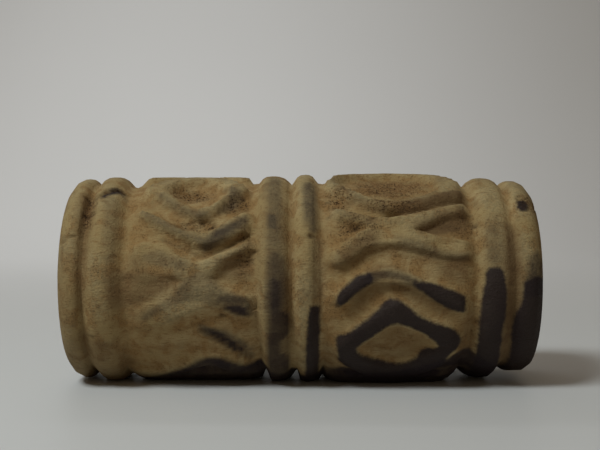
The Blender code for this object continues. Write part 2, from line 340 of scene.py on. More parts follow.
# Dark pigment on the rings, on crests and in grooves alike
DARK_ALL_OVER = (
    ((27.2, 12), (27.7, 14), (29.1, 14), (29.7, 12), (30.0, 7), (30.2, -1), (30.2, -9), (30.0, -17),
     (29.9, -26), (30.0, -38), (30.5, -62), (30.2, -125), (27.0, -125), (26.3, -62), (26.5, -40),
     (26.5, -30), (26.5, -17), (26.6, -8), (26.8, 0), (27.1, 7)),
    ((33.2, 6), (34.1, 9), (35.1, 9), (35.9, 6), (36.9, -14), (36.9, -120), (30.6, -120),
     (31.9, -53), (31.8, -38), (31.5, -23), (31.8, -12), (32.4, -7), (32.7, 2), (32.8, 6)),
    ((32.8, 57), (33.7, 58), (34.3, 55), (34.0, 49), (33.2, 48), (32.6, 50)),
    ((1.3, -7), (2.6, -6), (3.0, -8), (3.1, -20), (3.0, -35), (2.9, -105), (0.9, -100), (1.0, -33),
     (1.2, -20)),
)

# Widths over which the edges of the coats below fade
DULL_EDGE = 0.30
UNDERNEATH_EDGE = 0.60
GREY_EDGE = 0.50
BROWN_EDGE = 1.10
SLOPE_EDGE = 0.35

# Duller dark coat of pigment, which on the lower sides of some bands also paints their shade: (outline,
# strength)
DULL_DARK = (
    (((-30.0, 58), (-29.3, 63), (-28.4, 67), (-27.1, 69), (-26.8, 63), (-27.9, 60), (-28.7, 58),
      (-29.7, 55)), 1.0),
    (((9.4, 10), (10.8, 11), (12.6, 12), (14.3, 11), (16.1, 9), (17.2, 6), (17.5, 3), (16.4, 5),
      (14.9, 7), (13.2, 8), (11.4, 7), (10.0, 4)), 0.60),
    (((-12.7, 33), (-11.3, 35), (-9.6, 39), (-9.0, 39), (-9.3, 35), (-10.7, 32), (-12.1, 29)), 0.60),
    (((-14.9, 30), (-13.0, 30), (-11.0, 34), (-8.7, 40), (-7.7, 43), (-7.7, 39), (-9.0, 34),
      (-11.0, 29), (-12.7, 25), (-14.0, 23), (-14.7, 26)), 0.22),
    (((-12.1, -2), (-10.9, -1), (-9.6, -1), (-8.4, -2), (-7.4, -2), (-6.9, -7), (-7.1, -14),
      (-8.3, -13), (-9.7, -10), (-11.0, -6)), 0.55),
    (((-11.2, -7), (-9.2, -6), (-7.6, -7), (-7.2, -12), (-8.1, -13), (-9.8, -11)), 0.95),
    (((-15.3, -18), (-13.7, -18), (-12.2, -22), (-10.6, -26), (-9.4, -31), (-7.9, -38), (-6.4, -47),
      (-7.0, -48), (-8.8, -42), (-10.6, -36), (-12.4, -31), (-14.2, -26)), 0.58),
    (((-13.4, -22), (-11.6, -24), (-10.3, -28), (-8.9, -34), (-8.2, -39), (-8.9, -41), (-10.2, -37),
      (-11.6, -31), (-13.2, -26)), 0.95),
    (((-4.8, 22), (-1.7, 20), (-1.4, -10), (-1.3, -76), (-4.9, -76), (-4.7, -26)), 0.42),
    (((-4.4, 9), (-2.9, 8), (-2.8, -3), (-2.5, -9), (-1.3, -12), (-1.2, -24), (-2.5, -27), (-2.7, -35),
      (-1.4, -38), (-1.3, -76), (-4.9, -76), (-4.5, -26), (-4.4, -3)), 0.85),
)

# The same coat underneath, painted dark for the underside's shade as well as its pigment
PIGMENT_AND_SHADE_UNDERNEATH = (
    (((-26.5, -72), (-22.0, -63), (-19.5, -56), (-17.2, -50), (-15.5, -44), (-13.9, -40), (-11.8, -40),
      (-10.1, -44), (-8.5, -48), (-6.5, -49), (-4.7, -52), (-0.5, -58), (3.0, -58), (4.7, -55),
      (6.9, -50), (12.3, -52), (18.3, -45), (21.9, -39), (24.5, -37), (26.5, -40), (31.0, -52),
      (33.0, -104), (20.0, -118), (4.0, -108), (-12.0, -116), (-25.0, -104)), 0.95),
)

# Grey tint of worn pigment: (outline, strength)
GREY_TINT = (
    (((-14.1, -21), (-13.2, -20), (-12.2, -21), (-10.8, -23), (-9.3, -27), (-7.9, -31), (-6.8, -40),
      (-7.8, -38), (-9.4, -33), (-10.8, -28), (-12.6, -26), (-13.9, -24)), 0.8),
    (((-29.4, 57), (-26.9, 58), (-26.3, 31), (-26.9, 16), (-28.4, 15), (-28.9, 34)), 0.30),
    (((-12.7, 33), (-11.3, 36), (-9.4, 40), (-7.7, 45), (-7.7, 39), (-8.7, 35), (-10.7, 29),
      (-12.2, 25), (-13.8, 22), (-14.7, 25), (-14.0, 28)), 0.7),
    (((-11.8, 71), (-9.6, 68), (-8.5, 61), (-9.2, 54), (-10.9, 49), (-12.6, 46), (-11.3, 56),
      (-10.5, 63)), 0.65),
    (((-21.8, 62), (-20.2, 60), (-18.6, 54), (-17.0, 49), (-15.1, 46), (-12.9, 46), (-14.6, 41),
      (-16.4, 44), (-18.9, 50), (-20.9, 56)), 0.55),
    (((-23.8, 48), (-22.1, 46), (-20.5, 42), (-18.7, 37), (-16.7, 33), (-14.5, 30), (-13.3, 29),
      (-14.4, 26), (-15.6, 28), (-17.4, 31), (-19.7, 35), (-22.0, 40), (-23.5, 44)), 0.55),
    (((-23.1, 21), (-20.2, 24), (-17.6, 18), (-16.1, 15), (-17.3, 12), (-20.2, 14),
      (-22.4, 16)), 0.45),
    (((-16.7, 8), (-14.4, 12), (-12.3, 9), (-11.3, 2), (-8.6, -1), (-7.6, -4), (-8.6, -5), (-10.6, -5),
      (-12.4, -6), (-13.8, -4), (-15.8, -4), (-17.9, -6), (-20.0, -9), (-22.1, -15), (-23.1, -15),
      (-22.8, -11), (-20.2, -5), (-18.0, 0)), 0.5),
    (((4.6, 92), (7.4, 92), (7.0, 66), (8.6, 58), (10.3, 52), (12.6, 49), (13.1, 44), (11.1, 46),
      (9.1, 50), (7.0, 58), (5.9, 66), (4.7, 66)), 0.22),
    (((4.6, 49), (6.8, 47), (9.3, 42), (11.9, 39), (11.6, 35), (9.2, 38), (6.6, 42), (4.7, 45)), 0.15),
    (((5.2, 19), (6.7, 25), (8.6, 30), (10.4, 35), (12.7, 34), (11.8, 29), (9.7, 25), (7.7, 19),
      (5.6, 15)), 0.12),
    (((14.2, 31), (16.9, 28), (19.8, 24), (22.6, 21), (24.8, 22), (24.9, 17), (21.6, 17), (18.7, 19),
      (15.4, 24), (14.0, 27)), 0.45),
    (((9.4, 12), (11.4, 15), (13.9, 14), (15.9, 11), (17.8, 7), (16.9, 4), (14.6, 7), (12.3, 9),
      (10.0, 7)), 0.30),
    (((-5.1, 84), (-2.8, 84), (-2.4, 43), (-2.2, 16), (-2.1, -11), (-4.4, -11), (-4.5, 16),
      (-4.9, 43)), 0.55),
    (((-4.8, 44), (-3.3, 44), (-3.1, 34), (-4.3, 33), (-4.7, 36)), 0.9),
    (((0.6, 72), (2.3, 72), (2.7, 50), (2.8, 35), (1.9, 31), (0.9, 36), (0.6, 50)), 0.8),
    (((1.7, 30), (3.5, 31), (3.8, 16), (3.6, -3), (1.6, -3), (1.4, 16)), 0.3),
    (((33.5, 21), (35.2, 24), (36.4, 2), (34.4, -3), (32.6, -1), (33.2, 11)), 0.85),
    (((27.4, 37), (29.5, 37), (29.6, 16), (27.2, 15)), 0.3),
)

# Brown stain, with painted shade in the hollows, the pockets and low down: (outline, strength)
STAIN_AND_PAINTED_SHADE = (
    (((7.4, 2), (9.7, 6), (13.2, 9), (16.4, 6), (20.4, -3), (22.7, -10), (20.6, -13), (17.3, -4),
      (13.6, 1), (10.3, -4), (7.4, -13)), 0.6),
    (((-28.1, 11), (-24.5, 13), (-20.2, 10), (-16.5, 11), (-17.9, 2), (-21.7, -5), (-24.6, -10),
      (-28.1, -9)), 0.7),
    (((-12.1, 16), (-9.2, 21), (-7.1, 23), (-6.8, 9), (-9.1, 6), (-11.8, 8)), 0.6),
    (((19.8, 16), (22.2, 19), (24.8, 18), (24.9, 7), (23.0, 5), (20.4, 9)), 0.7),
    (((-36.5, -20), (-25.0, -30), (-25.0, -130), (-36.5, -130)), 0.5),
    (((-33.6, 62), (-31.0, 62), (-30.4, 34), (-31.2, -10), (-32.6, -10), (-33.0, 34)), 0.6),
    (((3.0, -28), (7.0, -34), (8.0, -56), (3.0, -56)), 0.4),
    (((8.3, -30), (14.4, -16), (20.4, -30), (14.5, -46)), 0.45),
    (((24.2, -12), (26.4, -6), (26.6, -62), (23.0, -50)), 0.45),
    (((29.6, 40), (32.6, 40), (33.2, -70), (29.2, -70)), 1.0),
    (((27.6, 44), (30.2, 44), (30.4, 14), (27.4, 14)), 0.35),
    (((-13.6, 0), (-8.0, -2), (-7.2, -16), (-13.4, -8)), 0.4),
    (((-36.2, 34), (-33.0, 34), (-33.0, -66), (-36.2, -66)), 0.30),
    (((-25.6, 24), (-22.0, 18), (-21.0, -14), (-25.6, -20)), 0.45),
    (((-6.4, 60), (-0.9, 60), (-0.9, -70), (-6.4, -70)), 0.2),
    (((14.0, 62), (20.0, 60), (25.6, 62), (25.4, 52), (20.0, 50), (14.0, 49)), 0.5),
    (((16.0, 36), (20.0, 42), (25.0, 50), (25.6, 34), (19.0, 31)), 0.85),
    (((12.6, 49), (17.0, 50), (25.4, 60), (25.6, 53), (19.0, 46), (14.0, 44)), 0.6),
    (((4.4, 17), (9.0, 28), (12.0, 29), (11.8, 24), (8.4, 16), (5.2, 9)), 0.5),
    (((12.0, 26), (18.0, 22), (25.2, 18), (25.0, 10), (18.0, 16), (13.0, 20)), 0.35),
)

# Painted shade on the slopes under the raised bands: (outline, strength)
PAINTED_SHADE_ON_SLOPES = (
    (((14.3, 48), (18.7, 55), (22.8, 62), (24.7, 64), (25.1, 58), (24.6, 55), (21.0, 51), (17.5, 46),
      (15.3, 44), (13.6, 47)), 1.0),
    (((17.8, 34), (19.3, 38), (21.8, 42), (23.9, 48), (25.1, 48), (25.1, 40), (23.1, 35), (21.1, 32),
      (18.7, 32)), 1.0),
    (((5.1, 14), (5.7, 17), (8.1, 26), (10.5, 32), (11.2, 29), (10.7, 25), (8.5, 20), (6.4, 14)), 0.7),
    (((10.9, 24), (14.5, 26), (17.2, 24), (21.4, 19), (25.0, 19), (25.0, 11), (22.8, 11), (20.4, 15),
      (17.1, 21), (13.8, 22)), 0.5),
)

# Pigment at the back, as boxes: (x from, x to, angle from, angle to)
DARK_AT_THE_BACK = (
    (27.1, 29.9, 128, 196),
    (-4.6, -2.6, 158, 206),
    (0.8, 2.5, 122, 150),
    (-30.2, -28.2, 206, 236),
    (7.0, 15.0, 188, 226),
    (-20.0, -12.0, 132, 152),
)


def smooth(share):
    """Eases a share that runs from 0 to 1."""
    return share * share * (3 - 2 * share)


def turn_near(angles, middle):
    """The same angles, in the turn round the seal that has a given angle in its middle."""
    return (angles - middle + 180) % 360 - 180 + middle


def clay_noise(points, size, octaves, seed):
    """Smooth noise of about -1 to 1, with lumps of a given size in millimetres."""
    shift = Vector((seed * 13.7, seed * 7.3, seed * 3.1))
    return np.array([noise.fractal(Vector(point) / size + shift, 1.0, 2.0, octaves) for point in points])


def wander(angles, seed, size):
    """Slow drift of a hand-guided line on its way round the seal."""
    draw = np.random.default_rng(seed)
    drift = np.zeros_like(angles)
    for waves in (1, 2, 3, 5, 8):
        drift += draw.normal() / waves * np.sin(np.radians(angles * waves) + draw.uniform(0, 2 * math.pi))
    return size * drift


def cut_corners(outline, rounds=2):
    """Rounds a closed outline by cutting its corners again and again."""
    points = np.array(outline, float)
    for _ in range(rounds):
        following = np.roll(points, -1, axis=0)
        near = points * 0.78 + following * 0.22
        far = points * 0.22 + following * 0.78
        points = np.stack([near, far], axis=1).reshape(-1, 2)
    return points


def distance_to_line(x, y, start, end):
    """Distance of points to the straight line between two corners."""
    across, up = end - start
    share = ((x - start[0]) * across + (y - start[1]) * up) / (across * across + up * up + 1e-9)
    share = np.clip(share, 0, 1)
    return np.hypot(x - start[0] - share * across, y - start[1] - share * up)


def depth_inside(x, angles, outline):
    """Distance in millimetres inside a rounded outline, negative outside it."""
    corners = cut_corners(outline)
    height = turn_near(angles, corners[:, 1].mean()) * MM_PER_DEGREE
    corners = corners * (1, MM_PER_DEGREE)
    margin = 2.5
    low = corners.min(axis=0) - margin
    high = corners.max(axis=0) + margin
    near = (x > low[0]) & (x < high[0]) & (height > low[1]) & (height < high[1])
    px = x[near]
    py = height[near]
    distance = np.full(px.shape, 1e9)
    inside = np.zeros(px.shape, bool)
    for start, end in zip(corners, np.roll(corners, -1, axis=0)):
        distance = np.minimum(distance, distance_to_line(px, py, start, end))
        crosses = (start[1] > py) != (end[1] > py)
        if crosses.any():
            slope = (end[0] - start[0]) / (end[1] - start[1] + 1e-12)
            inside ^= crosses & (px < start[0] + (py - start[1]) * slope)
    result = np.full(x.shape, FAR_OUTSIDE)
    result[near] = np.where(inside, distance, -distance)
    return result


def band_along(points, width, draw):
    """Outline of a hand-cut band along points of (x, angle), with an uneven width."""
    line = np.array(points, float) * (1, MM_PER_DEGREE)
    steps = []
    for start, end in zip(line[:-1], line[1:]):
        for share in (0.0, 0.5):
            steps.append(start + share * (end - start))
    steps.append(line[-1])
    steps = np.array(steps) + draw.normal(0, 0.12, (len(steps), 2))
    ahead = np.gradient(steps, axis=0)
    across = np.stack([-ahead[:, 1], ahead[:, 0]], axis=1) / np.linalg.norm(ahead, axis=1)[:, None]
    half = width / 2 * (1 + draw.normal(0, 0.08, (len(steps), 1)))
    outline = np.concatenate([steps + across * half, (steps - across * half)[::-1]])
    return outline / (1, MM_PER_DEGREE)


def lozenge(left, right, apex_x, middle, half_height, grow, draw):
    """Outline of a hand-cut lozenge, made larger or smaller by grow in millimetres."""
    up = grow / MM_PER_DEGREE
    corners = [
        (left - grow, middle), (left - grow + 1.0, middle + 5), (apex_x, middle + half_height + up),
        (right + grow - 1.0, middle + 5), (right + grow, middle), (right + grow - 1.5, middle - 7),
        (apex_x, middle - half_height - up), (left - grow + 1.5, middle - 7),
    ]
    return np.array(corners) + draw.normal(0, 0.15, (len(corners), 2)) * (1, 1 / MM_PER_DEGREE)


def back_bands(panel):
    """Bands round the back of a panel, in the same order as at the front."""
    left, right, apex_x, middle, half_height, upper_end, lower_end = BACK[panel]
    draw = np.random.default_rng(BACK_SEED + panel)
    inset = 2.0
    line = (left + inset, right - inset, apex_x, middle, half_height - 4)
    bands = [(lozenge(*line, 1.3, draw), lozenge(*line, -1.2, draw))]
    gaps = ((upper_end, middle - half_height), (middle + half_height, 360 + lower_end))
    for start, end in gaps:
        for share, rise, width in BACK_CHEVRONS:
            apex = start + share * (end - start)
            uneven = draw.normal(0, 1.2, 3)
            points = (
                (left, apex + rise + uneven[0]),
                (apex_x + uneven[1] * 0.3, apex),
                (right, apex + rise + uneven[2]),
            )
            bands.append((band_along(points, width, draw), None))
    return bands


def carving(panel, x, angles):
    """Distance inside the panel's bands at each point, negative in the ground."""
    inside = np.full(x.shape, FAR_OUTSIDE)
    for outline, bowl in list(FRONT_BANDS[panel]) + back_bands(panel):
        reach = depth_inside(x, angles, outline)
        if bowl is not None:
            reach = np.minimum(reach, -depth_inside(x, angles, bowl))
        inside = np.maximum(inside, reach)
    return inside


def stroke_depth(x, angles, points, half_width, depth):
    """Depth of one stroke along points of (x, angle)."""
    corners = np.array(points, float)
    height = turn_near(angles, corners[:, 1].mean()) * MM_PER_DEGREE
    corners = corners * (1, MM_PER_DEGREE)
    distance = np.full(x.shape, 1e9)
    for start, end in zip(corners[:-1], corners[1:]):
        distance = np.minimum(distance, distance_to_line(x, height, start, end))
    return depth * smooth(np.clip(1 - distance / half_width, 0, 1))


def box_depth(x, angles, low, high, angle_low, angle_high):
    """Distance in millimetres inside a box of x and angle, negative outside it."""
    near = turn_near(angles, (angle_low + angle_high) / 2)
    along = np.minimum(x - low, high - x)
    around = np.minimum(near - angle_low, angle_high - near) * MM_PER_DEGREE
    return np.clip(np.minimum(along, around), -REACH, REACH)


def coat(x, angles, table, soft):
    """Strength of a tint that is given by outlines, falling softly to 0 at their edges."""
    strength = np.zeros_like(x)
    for outline, full in table:
        share = smooth(np.clip(depth_inside(x, angles, outline) / (2 * soft) + 0.5, 0, 1))
        strength = np.maximum(strength, full * share)
    return strength


def round_patch(x, angles, place, angle, half_width, half_height):
    """1 in the middle of an oval patch, falling softly to 0 at its edge."""
    across = (x - place) / half_width
    up = turn_near(angles - angle, 0) / half_height
    return smooth(np.clip(1 - np.hypot(across, up), 0, 1))


def full_patch(x, angles, place, angle, half_width, half_height):
    """1 over most of an oval patch, falling softly to 0 at its edge."""
    return np.clip(1.8 * round_patch(x, angles, place, angle, half_width, half_height), 0, 1)


def share_underneath(angles):
    """0 at the front and above it, rising to 1 at the very bottom."""
    below = (FRONT_SINE - np.sin(np.radians(angles))) / (1 + FRONT_SINE)
    return np.clip(below, 0, 1) ** LATE_UNDERNEATH


def groove_place(index, angles):
    """x of a groove's bottom at each angle."""
    front, top, underneath = GROOVES[index][:3]
    share_above = np.clip((np.sin(np.radians(angles)) - FRONT_SINE) / (1 - FRONT_SINE), 0, 1)
    lean = (top - front) * share_above + (underneath - front) * share_underneath(angles)
    return front + lean + wander(angles, GROOVE_SEED + index, 0.09)


def groove_radius(index, angles):
    """Radius at the bottom of a groove at each angle."""
    low, low_underneath = GROOVES[index][3:]
    return low + (low_underneath - low) * share_underneath(angles)


def section_edge(index, angles):
    """x and radius of a groove, or of the place past an end where the next one would be."""
    if index < 0:
        return -LENGTH / 2 - PAST_THE_END, LEFT_END_LOW
    if index == len(GROOVES):
        return LENGTH / 2 + PAST_THE_END, RIGHT_END_LOW
    return groove_place(index, angles), groove_radius(index, angles)


def turned_radius(x, angles):
    """Radius of the turned body before the carving, and a share from 0 in grooves to 1 on crests."""
    radius = np.zeros_like(x)
    crest_share = np.zeros_like(x)
    for index, (crest_x, crest, raised, squareness) in enumerate(SECTIONS):
        left, left_low = section_edge(index - 1, angles)
        right, right_low = section_edge(index, angles)
        here = (x >= left) & (x < right)
        top = crest + raised * np.sin(np.radians(angles)) + wander(angles, CREST_SEED + index, 0.05)
        middle = crest_x + wander(angles, CREST_PLACE_SEED + index, 0.12)
        share = np.where(x < middle, (middle - x) / (middle - left), (x - middle) / (right - middle))
        fullness = 1 - np.clip(share, 0, 1) ** squareness
        low = np.where(x < middle, left_low, right_low) + wander(angles, LOW_SEED + index, 0.05)
        radius = np.where(here, low + (top - low) * fullness, radius)
        crest_share = np.where(here, fullness, crest_share)
    return radius, crest_share


def select_where(mesh, kind, wanted):
    """Selects those edges or faces of a mesh in edit mode for which wanted says yes."""
    shape = bmesh.from_edit_mesh(mesh)
    for part in shape.faces if kind == "FACE" else shape.edges:
        part.select_set(wanted(part))
    bmesh.update_edit_mesh(mesh)


def along_the_wall(edge):
    """True for an edge that runs from end to end of the plain cylinder's wall."""
    start, end = (vert.co for vert in edge.verts)
    on_wall = min(math.hypot(start.y, start.z), math.hypot(end.y, end.z)) > 0.95 * MEAN_RADIUS * MM
    return on_wall and abs(start.x - end.x) > 0.5 * LENGTH * MM


def plain_roller():
    """Cylinder along X with a bore, cut into columns round it and even rows along it."""
    bpy.ops.object.select_all(action="DESELECT")
    bpy.ops.mesh.primitive_cylinder_add(
        vertices=COLUMNS,
        radius=MEAN_RADIUS * MM,
        depth=LENGTH * MM,
        end_fill_type="NGON",
        rotation=(0, math.pi / 2, 0),
    )
    roller = bpy.context.object
    roller.name = "seal"
    bpy.ops.object.transform_apply(location=False, rotation=True, scale=False)
    bpy.ops.object.mode_set(mode="EDIT")
    bpy.ops.mesh.select_mode(type="FACE")
    select_where(roller.data, "FACE", lambda face: abs(face.normal.x) > 0.9)
    scale = (MEAN_RADIUS - BORE_RADIUS) / sum(END_RINGS)
    for width in END_RINGS:
        bpy.ops.mesh.inset(thickness=width * scale * MM)
    bpy.ops.mesh.bridge_edge_loops(number_cuts=BORE_ROWS)
    bpy.ops.mesh.select_mode(type="EDGE")
    bpy.ops.mesh.select_all(action="DESELECT")
    select_where(roller.data, "EDGE", along_the_wall)
    bpy.ops.mesh.subdivide(number_cuts=ROWS - 1)
    bpy.ops.mesh.select_all(action="SELECT")
    bpy.ops.mesh.normals_make_consistent(inside=False)
    bpy.ops.object.mode_set(mode="OBJECT")
    return roller


def row_places():
    """x of each row, closer together on the rounded ends and in the sections with grooves."""
    rounded = END_ROUNDING * (1 - np.cos(np.linspace(0, math.pi / 2, ROUNDING_ROWS + 1)))
    edges = [END_ROUNDING - LENGTH / 2] + [groove[0] for groove in GROOVES] + [LENGTH / 2 - END_ROUNDING]
    counts = list(SECTION_ROWS)
    counts[0] -= ROUNDING_ROWS
    counts[-1] -= ROUNDING_ROWS
    places = [rounded - LENGTH / 2]
    for start, end, count in zip(edges[:-1], edges[1:], counts):
        places.append(np.linspace(start, end, count + 1)[1:])
    places.append((LENGTH / 2 - rounded)[-2::-1])
    return np.concatenate(places)


def column_angles(angles):
    """Angles that stand closer together at the front than at the back."""
    share = ((angles - FRONT_FROM) % 360) / 360
    front_share = FRONT_COLUMNS / COLUMNS
    front_span = FRONT_TO - FRONT_FROM
    front = FRONT_FROM + share / front_share * front_span
    back = FRONT_TO + (share - front_share) / (1 - front_share) * (360 - front_span)
    return turn_near(np.where(share < front_share, front, back), 0)


def on_wall_points(x, angles):
    """The roller's own surface as points in millimetres, for noise that runs on without a seam."""
    turn = np.radians(angles)
    return np.stack([x, -MEAN_RADIUS * np.cos(turn), MEAN_RADIUS * np.sin(turn)], axis=1)


def pits(x, angles):
    """Depth of the larger pores, thick in the pitted places and few elsewhere."""
    draw = np.random.default_rng(PIT_SEED)
    depth = np.zeros_like(x)
    for number in range(PIT_COUNT):
        if number < PIT_COUNT * PITS_IN_PATCHES:
            place, angle, half_width, half_height = PITTED[number % len(PITTED)][:4]
            far = math.sqrt(draw.uniform()) * 0.9
            turn = draw.uniform(0, 2 * math.pi)
            place += far * math.cos(turn) * half_width
            angle += far * math.sin(turn) * half_height
        else:
            place = draw.uniform(-34, 34)
            angle = draw.uniform(-180, 180)
        size = draw.uniform(0.22, 0.42) if draw.uniform() < 0.85 else draw.uniform(0.4, 0.65)
        sunk = size * draw.uniform(0.35, 0.75)
        tall = size / MM_PER_DEGREE * draw.uniform(0.7, 1.0)
        near = np.abs(x - place) < 1.0
        patch = round_patch(x[near], angles[near], place, angle, size * draw.uniform(1.0, 1.5), tall * 1.2)
        depth[near] = np.maximum(depth[near], sunk * patch)
    return depth


def carved_wall(panel, x, angles, points, turned):
    """Radius of a panel's wall, its height as a share, and the distance inside its bands."""
    inside = carving(panel, x, angles) + 0.12 * clay_noise(points, 2.2, 2, 3)
    underside = np.minimum(FILLED_FROM - angles, angles - FILLED_TO) * MM_PER_DEGREE
    inside = np.maximum(inside, np.minimum(underside, REACH))
    outside = np.interp(angles, *SOFTER_BELOW[panel])
    rise = smooth(np.clip((inside + outside) / (SLOPE_INSIDE + outside), 0, 1))
    hollow = 0.22 * smooth(np.clip((-inside - 0.4) / 1.4, 0, 1))
    sunk = (1 - rise) * (1 + hollow) * np.interp(angles, *FLATTER_BELOW)
    relief = np.interp(x, *zip(*RELIEF[panel]))
    radius = turned + relief * (1 - sunk)
    for place, angle, half_width, half_height, under in WORN:
        worn = 0.85 * full_patch(x, angles, place, angle, half_width * 1.3, half_height * 1.3)
        radius = radius + (turned + relief - under - radius) * worn
        rise = rise + (0.6 - rise) * worn
    return radius, rise, np.clip(inside + 0.15, -REACH, REACH)


def dark_depth(x, angles, points, band_depth):
    """Distance in millimetres inside the dark pigment, negative outside it."""
    dark = np.full_like(x, -REACH)
    for outline, bare in DARK_ON_TOPS:
        inside = np.minimum(depth_inside(x, angles, outline), band_depth + 0.75)
        if bare is not None:
            inside = np.minimum(inside, -depth_inside(x, angles, bare))
        dark = np.maximum(dark, inside)
    for outline in DARK_ALL_OVER:
        dark = np.maximum(dark, depth_inside(x, angles, outline))
    on_raised = np.where(band_depth > -REACH, band_depth, -FAR_OUTSIDE)
    worn_edge = 0.9 * clay_noise(points, 3.0, 3, 14)
    for box in DARK_AT_THE_BACK:
        inside = box_depth(x, angles, *box) + worn_edge
        dark = np.maximum(dark, np.minimum(inside - 0.2, on_raised))
    return np.clip(dark, -REACH, REACH)


def shape_wall(x, angles):
    """Radius, and what the clay's colour needs, at each point of the outer wall."""
    turned, height = turned_radius(x, angles)
    points = on_wall_points(x, angles)
    radius = turned.copy()
    band_depth = np.full_like(x, -REACH)
    for panel in (LEFT_PANEL, RIGHT_PANEL):
        here = (x > groove_place(panel - 1, angles)) & (x < groove_place(panel, angles))
        carved = carved_wall(panel, x[here], angles[here], points[here], turned[here])
        radius[here], height[here], band_depth[here] = carved
    cuts = np.zeros_like(x)
    for line, half_width, depth in STROKES:
        cut = stroke_depth(x, angles, line, half_width, depth)
        radius -= cut
        height -= 0.6 * cut
        # Narrow strokes are painted dark inside, as painted shade
        if half_width < NARROW_STROKE:
            cuts = np.maximum(cuts, cut)
    for place, angle, half_width, half_height, depth in DENTS:
        dent = depth * round_patch(x, angles, place, angle, half_width, half_height)
        radius -= dent
        height -= 0.5 * dent
    pitted = np.zeros_like(x)
    for place, angle, half_width, half_height, strength in PITTED:
        patch = full_patch(x, angles, place, angle, half_width * 1.25, half_height * 1.25)
        pitted = np.maximum(pitted, strength * patch)
    radius += 0.10 * clay_noise(points, 9.0, 2, 1)
    radius += 0.045 * clay_noise(points, 2.2, 3, 2)
    radius += (0.018 + 0.07 * pitted) * clay_noise(points, 0.8, 2, 5)
    holes = pits(x, angles)
    radius -= holes
    # Dull dark pigment, which on some bands' lower sides is also painted shade
    dull_coat_and_shade = coat(x, angles, DULL_DARK, DULL_EDGE)
    # Brown stain, with painted shade in the hollows, the pockets and low down
    brown_stain_and_shade = coat(x, angles, STAIN_AND_PAINTED_SHADE, BROWN_EDGE)
    colours = {
        "relief": height,
        "dark": dark_depth(x, angles, points, band_depth),
        "grey": coat(x, angles, GREY_TINT, GREY_EDGE),
        # The underside is painted dark for its shade as well as for its pigment
        "dull_coat_and_shade": np.maximum(dull_coat_and_shade, coat(x, angles, PIGMENT_AND_SHADE_UNDERNEATH, UNDERNEATH_EDGE)),
        # Painted shade on the slopes under the raised bands joins the brown stain
        "brown_stain_and_shade": np.maximum(brown_stain_and_shade, coat(x, angles, PAINTED_SHADE_ON_SLOPES, SLOPE_EDGE)),
        "pitted": pitted,
        # Painted shade in the pits and narrow cuts, darker where they are deeper
        "pit_and_cut_shade": np.clip(np.maximum(holes * 3, cuts * 1.3), 0, 1),
    }
    return radius, colours


def end_rounding(x, angles):
    """What the rounding of the ends takes off the radius."""
    low_down = np.clip(-np.sin(np.radians(angles)), 0, 1) * (x > 0)
    rounding = END_ROUNDING - LESS_ROUNDED_LOW_DOWN * low_down
    from_end = np.clip((LENGTH / 2 - np.abs(x)) / rounding, 0, 1)
    return rounding * (1 - np.sqrt(1 - (1 - from_end) ** 2))


def shape_ends(x, radius, angles, wall, ends):
    """Moves the points of the end faces, which join the rims to the mouths of the bore."""
    mouth = BORE_RADIUS + BORE_LIP
    for sign in (-1, 1):
        edge = wall & (x * sign > LENGTH / 2 - 1e-6)
        order = np.argsort(angles[edge])
        face = ends & (x * sign > 0)
        rim = np.interp(angles[face], angles[edge][order], radius[edge][order], period=360)
        share = (radius[face] - BORE_RADIUS) / (MEAN_RADIUS - BORE_RADIUS)
        radius[face] = mouth + share * (rim - mouth)
        points = on_wall_points(x[face], angles[face]) * (radius[face] / MEAN_RADIUS)[:, None]
        lumps = clay_noise(points, 5.0, 3, 11)
        middle_share = np.clip(4 * share * (1 - share), 0, 1)
        x[face] -= sign * (0.12 + 0.22 * lumps) * middle_share


def shape_bore(x, radius, angles, bore):
    """Moves the points of the bore, which has a lip at each mouth and an uneven wall."""
    mouth_edge = bore & (np.abs(x) > LENGTH / 2 - 1e-6)
    radius[mouth_edge] = BORE_RADIUS + 0.1
    x[mouth_edge] -= np.sign(x[mouth_edge]) * BORE_LIP
    inner = bore & ~mouth_edge
    points = on_wall_points(x[inner], angles[inner]) * (BORE_RADIUS / MEAN_RADIUS)
    radius[inner] = BORE_RADIUS + 0.08 * clay_noise(points, 4.0, 2, 12)


def settled(height):
    """Heights above the floor, with the lowest points eased onto it."""
    soft = 0.12
    flat_below = 0.18
    eased_below = 1.2
    eased = soft * np.log1p(np.exp(np.clip((height - flat_below) / soft, -30, 30))) - 0.005
    free = smooth(np.clip(height / eased_below, 0, 1))
    return np.where(height < eased_below, np.maximum(eased, 0.0) + (height - eased) * free, height)


